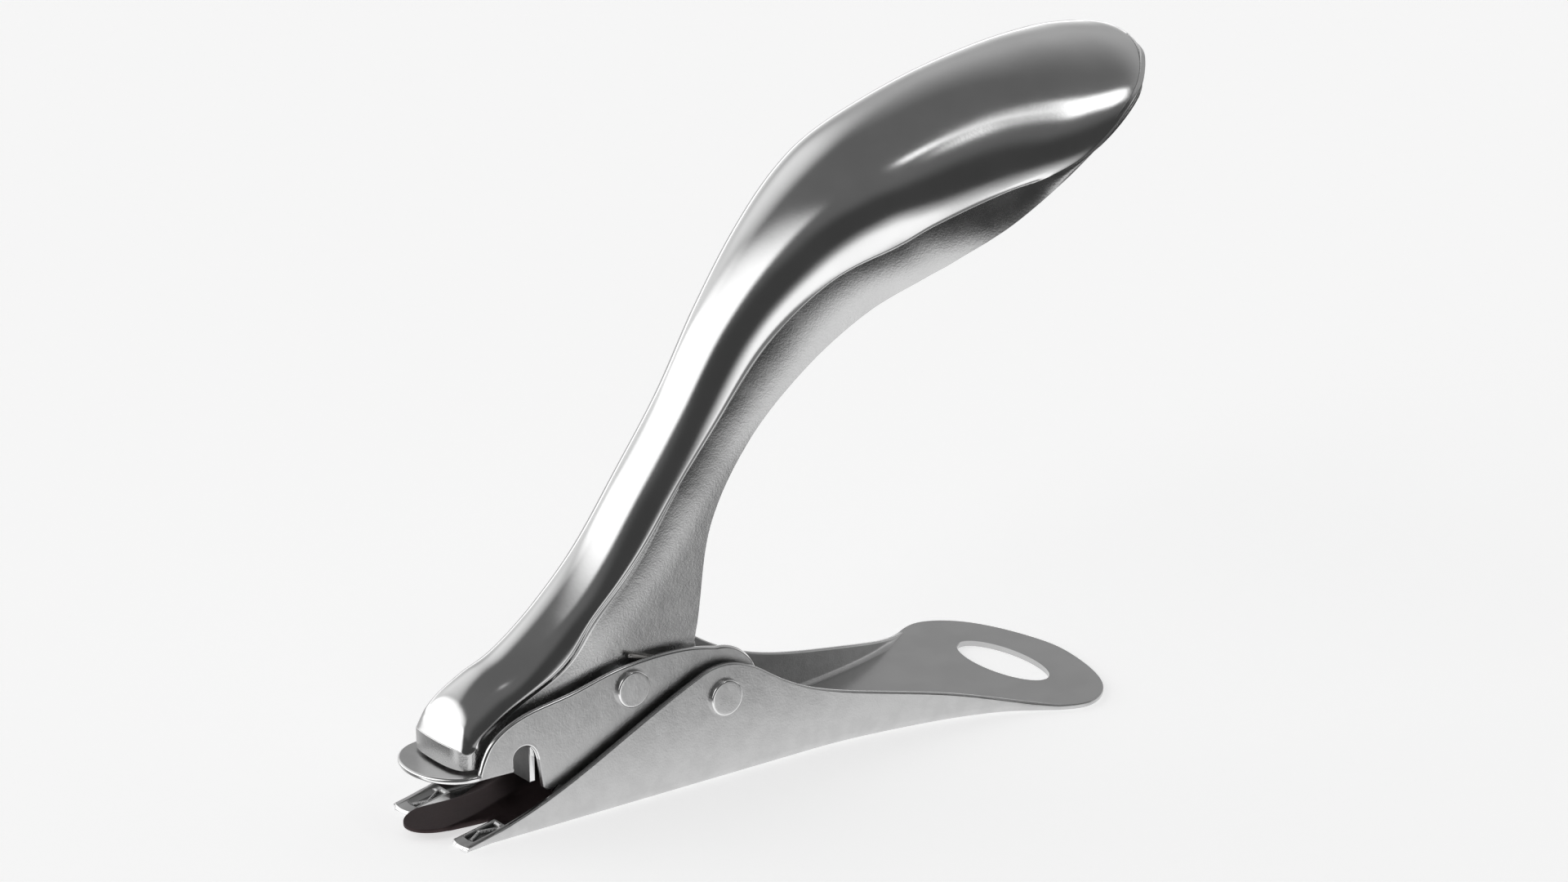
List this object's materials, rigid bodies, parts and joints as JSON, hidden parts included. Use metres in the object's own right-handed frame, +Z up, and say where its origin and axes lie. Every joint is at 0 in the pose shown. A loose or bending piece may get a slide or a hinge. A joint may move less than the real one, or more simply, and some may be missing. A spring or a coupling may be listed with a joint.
{
  "type": "staple remover",
  "caption": "Squeeze-type metal staple remover: flat base with two tines, sprung jaw frame with a lip, and a plated handle that raises a steel tongue.",
  "frame": {"origin": "on the flat underside of the base, straight below the rear rivet's axis, midway between the walls", "axes": "-X towards the tines and the lip, +X towards the flared tail; +Y across; +Z up out of the base floor"},
  "size_m": [0.1412, 0.047, 0.1123],
  "materials": {
    "satin_steel": "satin nickel-plated steel with a fine grain and polished edges",
    "rivet_steel": "satin steel with a polished bevel",
    "zinc_steel": "plain zinc-plated steel",
    "mirror_chrome": "mirror chrome plating",
    "dark_spring_steel": "dark brown-black oxidised steel, matt",
    "spring_wire": "drawn spring wire"
  },
  "bodies": {
    "base": {"base_channel": "satin_steel", "rear_rivet": "rivet_steel", "rear_bush": "zinc_steel", "rear_washers": "zinc_steel", "jaw_spring": "spring_wire"},
    "jaw": {"jaw_frame": "satin_steel", "jaw_cross_wall": "satin_steel", "front_rivet": "rivet_steel", "front_bush": "zinc_steel", "front_washers": "zinc_steel", "handle_spring": "spring_wire"},
    "handle": {"handle_shell": "mirror_chrome", "lifting_tongue": "dark_spring_steel", "tongue_rivets": "rivet_steel"}
  },
  "joints": [
    {"name": "jaw_lift", "type": "hinge", "parent": "base", "child": "jaw", "pos_m": [0, 0, 0.0142], "axis": [0, 1, 0], "range_deg": [0, 20], "stiffness_Nm_per_rad": 0.9, "springref_deg": -11.46, "deforming": ["jaw_spring"]},
    {"name": "handle_squeeze", "type": "hinge", "parent": "jaw", "child": "handle", "pos_m": [-0.0168, 0, 0.0191], "axis": [0, 1, 0], "range_deg": [0, 7], "stiffness_Nm_per_rad": 0.9, "springref_deg": -14.32, "deforming": ["handle_spring"]}
  ]
}
